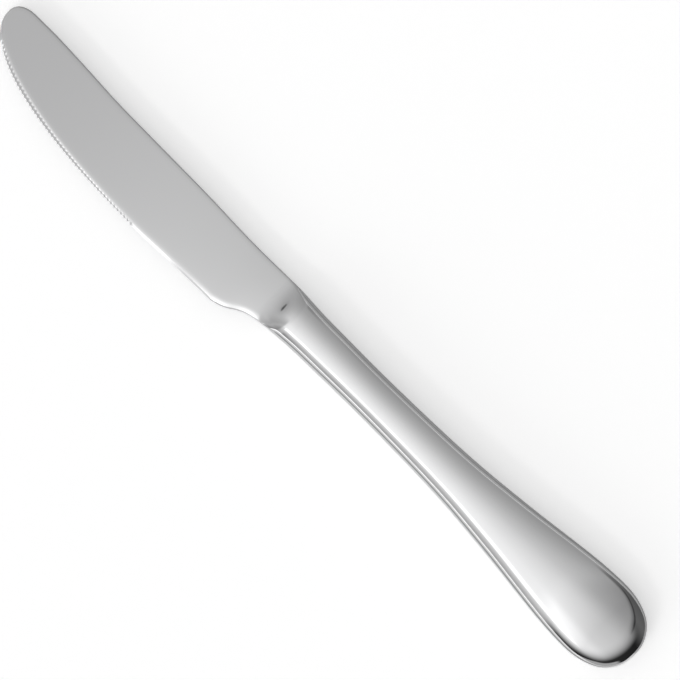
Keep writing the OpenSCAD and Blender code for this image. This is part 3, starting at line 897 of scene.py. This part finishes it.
# Painted shade on the floor in reflections: from the first to the second place across the knife on, and in a
# band with soft borders, given by squared distances. The shades are what is left of its colour there.
PAINTED_SHADE_BEHIND, BEHIND_SHADE = (-0.002, 0.004), 0.72
PAINTED_SHADE_BAND, BAND_SHADE = (0.016**2, 0.02**2, 0.028**2, 0.034**2), 0.48
# Width of the camera's sensor, in millimetres.
SENSOR_WIDTH = 36


class KNIFE_OT_add_studio(Operator):
    """Adds the white floor, the light and the camera"""

    bl_idname = "knife.add_studio"
    bl_label = "Add studio"

    def execute(self, context):
        studio = context.scene.knife_studio
        self.add_floor(context.scene, studio)
        self.add_light(context.scene, studio)
        self.add_camera(context.scene, studio)
        context.scene.view_settings.view_transform = "Standard"
        return {"FINISHED"}

    def add_floor(self, scene, studio):
        """A flat square under the knife, lit up for the camera, and less so in reflections. They show it with
        painted shade: darker behind the knife, where its shadow lies, and in a band along each side."""
        half = studio.floor_size
        mesh = bpy.data.meshes.new("floor")
        corners = (-half, -half, 0), (half, -half, 0), (half, half, 0), (-half, half, 0)
        mesh.from_pydata(corners, [], [(0, 1, 2, 3)])
        finish, nodes = new_finish("floor_paper")
        seen = nodes.ray("Camera")
        mirrored = nodes.ray("Glossy")
        across = nodes.parts(nodes.place())[1]
        # Painted shade, shown only in reflections: the floor's colour and glow darken behind the knife and in
        # a band along each side.
        behind = nodes.smooth(across, *PAINTED_SHADE_BEHIND) * mirrored
        band = nodes.between(across * across, *PAINTED_SHADE_BAND) * mirrored
        glow = nodes.tint(seen, shade((1, 1, 1), studio.floor_shine), (1, 1, 1, 1))
        glow = nodes.tint(behind, glow, (0, 0, 0, 1))
        paper_with_painted_shade = nodes.tint(behind, (*studio.floor_colour, 1), shade(studio.floor_colour, BEHIND_SHADE))
        nodes.surface(
            {
                "Base Color": nodes.tint(band, paper_with_painted_shade, shade(studio.floor_colour, BAND_SHADE)),
                "Roughness": 1.0,
                "Specular IOR Level": 0.0,
                "Emission Color": nodes.tint(band, glow, (0, 0, 0, 1)),
                "Emission Strength": studio.floor_glow,
            }
        )
        mesh.materials.append(finish)
        floor = bpy.data.objects.new("floor", mesh)
        scene.collection.objects.link(floor)

    def add_light(self, scene, studio):
        """The room round the knife, by direction, with a long soft box, which reflections show only dimly,
        and a low lamp that lengthens the shadow, which they don't show. The camera sees white."""
        world = bpy.data.worlds.new("studio")
        scene.world = world
        nodes = Nodes(world)
        butt, back, up = nodes.parts(nodes.add("ShaderNodeTexCoord", output="Generated"))
        side = back * -1
        tilt = nodes.add("ShaderNodeMath", {"operation": "ARCSINE"}, {0: side}) * (180 / math.pi)
        mirrored = nodes.ray("Glossy")
        seen = nodes.ray("Camera")
        room = self.room_light(nodes, tilt, side, butt, up)
        start, full, fading, end = KEY_TILTS
        key = nodes.smooth(tilt, start, full) * nodes.smooth(tilt + KEY_SLANT * butt, end, fading)
        key = key * nodes.between(butt, -0.045, -0.012, 0.2, 0.36)
        key = key * (studio.key_light + (studio.key_shine - studio.key_light) * mirrored)
        low_lamp = nodes.between(tilt, *LOW_TILTS) * (1 - mirrored)
        strength = room * studio.soft_light + key + low_lamp * studio.low_light
        strength = nodes.add("ShaderNodeMix", None, {0: seen, 2: strength, 3: 1.0})
        glow = nodes.add("ShaderNodeBackground", None, {"Color": (1, 1, 1, 1), "Strength": strength})
        nodes.add("ShaderNodeOutputWorld", None, {"Surface": glow})

    def room_light(self, nodes, tilt, side, butt, up):
        """A ramp over the tilt towards the edge's side, times a ramp over the way towards the butt.

        Beyond the butt it is dark low down, where up < butt + 0.2 side^2, with a thin darker line along that
        border on the spine's side and a faint strip of light on the edge's, and higher up a little dimmer on
        the one side and brighter on the other. Beyond the tip it is dimmer on the edge's side, with one small
        dark spot low down. A bright line runs just over the horizon along the knife's sides."""
        room = nodes.grey_ramp(tilt, ROOM_LIGHT) * nodes.grey_ramp(butt, END_LIGHT)
        low = up - butt
        left = nodes.smooth(side, -0.15, -0.45)
        soft = nodes.smooth(low - 0.2 * side * side, 0.42, -0.2)
        hidden = nodes.tint(left, soft, nodes.smooth(low, 0.4, 0.24)) * nodes.smooth(butt, 0, 0.08)
        base = nodes.smooth(side, -0.58, -0.12, 0.42, 0.03)
        line = 0.7 * left * nodes.between(low, 0.19, 0.23, 0.24, 0.28) * nodes.smooth(butt, 0.1, 0.2)
        dimmer = 0.25 * nodes.smooth(side, 0.05, -0.4) * nodes.smooth(butt, 0.02, 0.18)
        brighter = 0.13 * nodes.smooth(side, 0.28, 0.5) * nodes.smooth(butt, 0.02, 0.1)
        beyond_tip = 0.45 * nodes.smooth(side, 0.1, 0.6) * nodes.smooth(butt, -0.1, -0.35)
        spot = 0.86 * nodes.smooth(butt - 0.5 * side * side + 0.03 * side, -0.988, -0.989)
        room = room * (1 - (1 - base) * hidden) * (1 - line)
        room = room * (1 - dimmer) * (1 + brighter) * (1 - beyond_tip) * (1 - spot)
        strip = nodes.smooth(low - 0.35 * butt, -0.24, -0.36) * nodes.smooth(up, 0.46, 0.36)
        horizon = nodes.smooth(up, 0.08, 0.04) * nodes.between(butt, -0.6, -0.3, 0.3, 0.5)
        horizon = horizon * nodes.smooth(side, -0.2, 0.2, 0.35, 1.5)
        return room + 0.4 * strip * nodes.smooth(side, 0.3, 0.42) + horizon

    def add_camera(self, scene, studio):
        """A long lens straight over the knife, which runs from the upper left to the lower right.

        The picture has its stated width at the height of the knife's middle."""
        lens = bpy.data.cameras.new("camera")
        lens.sensor_width = SENSOR_WIDTH
        height = studio.camera_height - scene.knife_sizes.handle_thickness / 2
        lens.lens = SENSOR_WIDTH * height / studio.picture_width
        lens.clip_start, lens.clip_end = 0.01, 20
        camera = bpy.data.objects.new("camera", lens)
        camera.location = (studio.aim_along, studio.aim_across, studio.camera_height)
        camera.rotation_euler = (0, 0, studio.turn)
        scene.collection.objects.link(camera)
        scene.camera = camera


class KNIFE_PT_pieces(Panel):
    """The knife's pieces and their sizes"""

    bl_label = "Table knife"
    bl_idname = "KNIFE_PT_pieces"
    bl_space_type = "VIEW_3D"
    bl_region_type = "UI"
    bl_category = "Table knife"

    def draw(self, context):
        for group_name, group in GROUPS:
            box = self.layout.box()
            settings = getattr(context.scene, group_name)
            for name in group.__annotations__:
                box.prop(settings, name)
        for operator in STEPS:
            self.layout.operator(operator.bl_idname)


GROUPS = (
    ("knife_sizes", KnifeSizes),
    ("knife_edge", EdgeSizes),
    ("knife_inside", InsideSizes),
    ("knife_finish", KnifeFinish),
    ("knife_studio", StudioSettings),
)
STEPS = (
    KNIFE_OT_add_studio, KNIFE_OT_add_blade, KNIFE_OT_add_handle, KNIFE_OT_add_braze, KNIFE_OT_finish_cement
)


def register():
    """Registers the settings, the operators and the panel."""
    for name, group in GROUPS:
        bpy.utils.register_class(group)
        setattr(bpy.types.Scene, name, PointerProperty(type=group))
    for cls in (*STEPS, KNIFE_PT_pieces):
        bpy.utils.register_class(cls)


def unregister():
    """Takes away what register added."""
    for cls in (KNIFE_PT_pieces, *reversed(STEPS)):
        bpy.utils.unregister_class(cls)
    for name, group in reversed(GROUPS):
        delattr(bpy.types.Scene, name)
        bpy.utils.unregister_class(group)


def main():
    """Makes the studio and every piece."""
    register()
    bpy.ops.knife.add_studio()
    bpy.ops.knife.add_blade()
    bpy.ops.knife.add_handle()
    bpy.ops.knife.add_braze()
    bpy.ops.knife.finish_cement()


if __name__ == "__main__":
    main()
